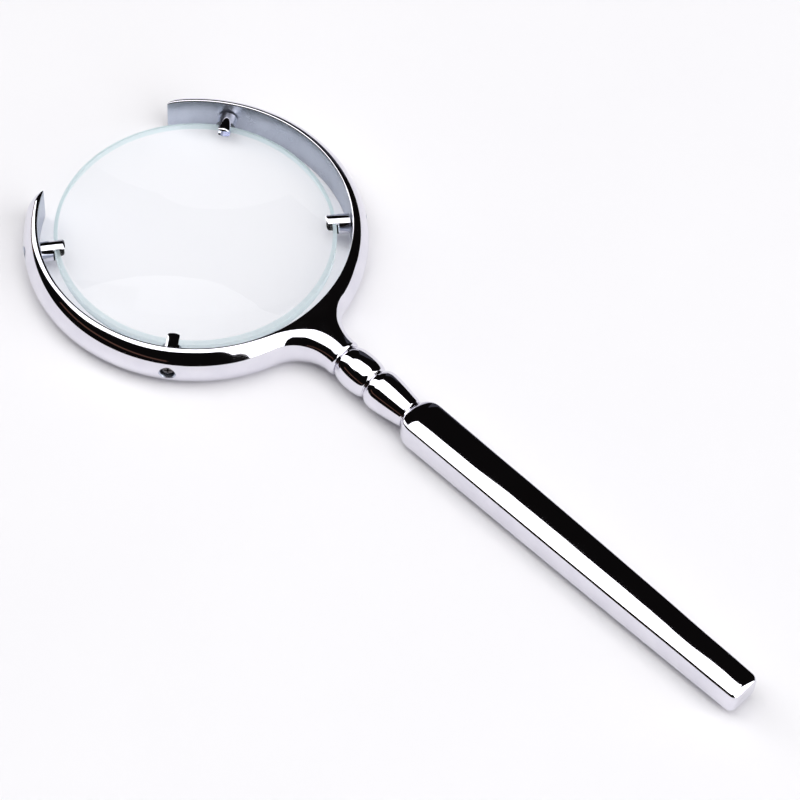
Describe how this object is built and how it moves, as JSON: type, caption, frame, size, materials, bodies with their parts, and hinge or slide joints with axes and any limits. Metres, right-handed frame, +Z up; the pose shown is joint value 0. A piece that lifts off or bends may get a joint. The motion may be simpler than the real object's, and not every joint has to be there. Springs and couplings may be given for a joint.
{
  "type": "hand lens",
  "caption": "Hand magnifier: a biconvex lens held by slotted posts in an open chromed ring, with a beaded neck and a long tapered bar handle.",
  "frame": {"origin": "middle of the whole footprint, on the surface that the ring lies on", "axes": "+X along the handle away from the lens, +Y across it, +Z up along the lens's optical axis"},
  "size_m": [0.2, 0.08, 0.01],
  "materials": {
    "chrome": "mirror-polished chrome plate",
    "lens_glass": "clear polished glass with a faint green-blue edge",
    "screw_steel": "turned and plated steel, a little dull"
  },
  "bodies": {
    "frame": {"ring_frame": "chrome", "lens_post_rear_right": "chrome", "lens_post_rear_left": "chrome", "lens_post_front_right": "chrome", "lens_post_front_left": "chrome", "tie_stud": "screw_steel"},
    "lens": {"lens": "lens_glass"},
    "collar": {"neck_collar": "chrome"},
    "ferrule": {"neck_ferrule": "chrome"},
    "handle": {"handle": "chrome"},
    "screw_rear_right": {"lens_screw_rear_right": "screw_steel"},
    "screw_rear_left": {"lens_screw_rear_left": "screw_steel"},
    "screw_front_right": {"lens_screw_front_right": "screw_steel"},
    "screw_front_left": {"lens_screw_front_left": "screw_steel"}
  },
  "joints": [
    {"name": "lens_turn", "type": "hinge", "parent": "frame", "child": "lens", "pos_m": [-0.0675, 0, 0.005], "axis": [0, 0, 1], "continuous": true},
    {"name": "collar_turn", "type": "hinge", "parent": "frame", "child": "collar", "pos_m": [-0.0139, 0, 0.005], "axis": [1, 0, 0], "continuous": true},
    {"name": "ferrule_turn", "type": "hinge", "parent": "frame", "child": "ferrule", "pos_m": [-0.004, 0, 0.005], "axis": [1, 0, 0], "continuous": true},
    {"name": "handle_turn", "type": "hinge", "parent": "frame", "child": "handle", "pos_m": [0.0505, 0, 0.005], "axis": [1, 0, 0], "continuous": true},
    {"name": "screw_rear_right_turn", "type": "hinge", "parent": "frame", "child": "screw_rear_right", "pos_m": [-0.04482, 0.02924, 0.005], "axis": [0.6129, 0.7902, 0], "continuous": true},
    {"name": "screw_rear_left_turn", "type": "hinge", "parent": "frame", "child": "screw_rear_left", "pos_m": [-0.04482, -0.02924, 0.005], "axis": [0.6129, -0.7902, 0], "continuous": true},
    {"name": "screw_front_right_turn", "type": "hinge", "parent": "frame", "child": "screw_front_right", "pos_m": [-0.08851, 0.03046, 0.005], "axis": [-0.5678, 0.8231, 0], "continuous": true},
    {"name": "screw_front_left_turn", "type": "hinge", "parent": "frame", "child": "screw_front_left", "pos_m": [-0.08851, -0.03046, 0.005], "axis": [-0.5678, -0.8231, 0], "continuous": true}
  ]
}
